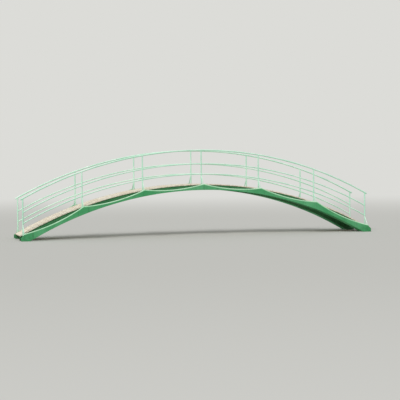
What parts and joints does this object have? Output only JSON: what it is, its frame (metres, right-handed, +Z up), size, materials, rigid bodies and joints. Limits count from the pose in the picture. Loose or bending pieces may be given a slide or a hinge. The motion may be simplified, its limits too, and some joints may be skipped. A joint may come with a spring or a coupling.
{
  "type": "arched garden footbridge",
  "caption": "Shallow arched garden footbridge with slender bent railings, raking stays, scalloped side fascias and a timber deck.",
  "frame": {"origin": "middle of the bridge, on the ground that the girder ends rest on", "axes": "+X along the bridge, +Y across it toward the back railing, +Z up"},
  "size_m": [10.74, 1.636, 2.5574],
  "materials": {
    "girder_green": "weathered semi-gloss paint",
    "fascia_green": "weathered semi-gloss paint",
    "bead_green": "weathered semi-gloss paint",
    "beam_green": "weathered semi-gloss paint",
    "railing_green": "weathered semi-gloss paint",
    "deck_boards": "bare weathered boards"
  },
  "bodies": {
    "root": {"front_girder": "girder_green", "back_girder": "girder_green", "front_fascia": "fascia_green", "back_fascia": "fascia_green", "front_bead": "bead_green", "back_bead": "bead_green", "cross_beam_1": "beam_green", "cross_beam_2": "beam_green", "cross_beam_3": "beam_green", "cross_beam_4": "beam_green", "cross_beam_5": "beam_green", "cross_beam_6": "beam_green", "cross_beam_7": "beam_green", "deck_bay_1": "deck_boards", "deck_bay_2": "deck_boards", "deck_bay_3": "deck_boards", "deck_bay_4": "deck_boards", "deck_bay_5": "deck_boards", "deck_bay_6": "deck_boards", "front_post_1": "railing_green", "front_post_2": "railing_green", "front_post_3": "railing_green", "front_post_4": "railing_green", "front_post_5": "railing_green", "front_post_6": "railing_green", "front_post_7": "railing_green", "back_post_1": "railing_green", "back_post_2": "railing_green", "back_post_3": "railing_green", "back_post_4": "railing_green", "back_post_5": "railing_green", "back_post_6": "railing_green", "back_post_7": "railing_green", "front_stays": "railing_green", "back_stays": "railing_green", "front_top_rail": "railing_green", "back_top_rail": "railing_green", "front_mid_rail": "railing_green", "back_mid_rail": "railing_green", "front_low_rail": "railing_green", "back_low_rail": "railing_green"}
  },
  "joints": []
}
